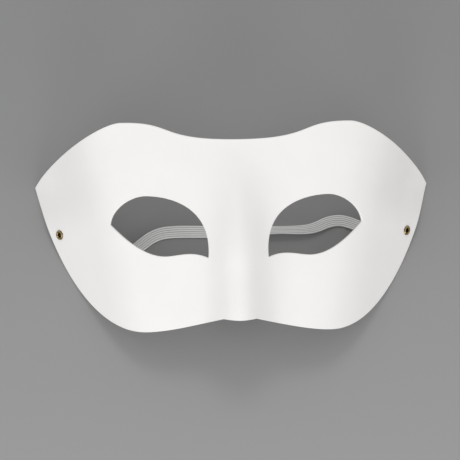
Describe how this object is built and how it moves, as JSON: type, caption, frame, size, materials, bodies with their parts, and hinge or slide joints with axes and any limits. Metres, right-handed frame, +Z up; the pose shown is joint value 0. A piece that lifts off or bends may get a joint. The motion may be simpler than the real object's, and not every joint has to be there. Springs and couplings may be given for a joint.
{
  "type": "domino mask",
  "caption": "Plain white half-face mask with almond eye holes, brass strap eyelets and a flat elastic strap, lying on its back rim.",
  "frame": {"origin": "on the surface that the mask lies on, under the middle of the mask's box", "axes": "+X from the viewer's left temple to the right one, +Y from the nose to the forehead, +Z up out of the face"},
  "size_m": [0.191, 0.0924, 0.0568],
  "materials": {
    "white_sheet": "smooth matte white moulded sheet",
    "eyelet_brass": "bright, slightly worn",
    "white_elastic": "braided flat elastic with lengthwise ribs"
  },
  "bodies": {
    "root": {"mask_shell": "white_sheet", "eyelet_left": "eyelet_brass", "eyelet_right": "eyelet_brass", "elastic_strap": "white_elastic"}
  },
  "joints": []
}
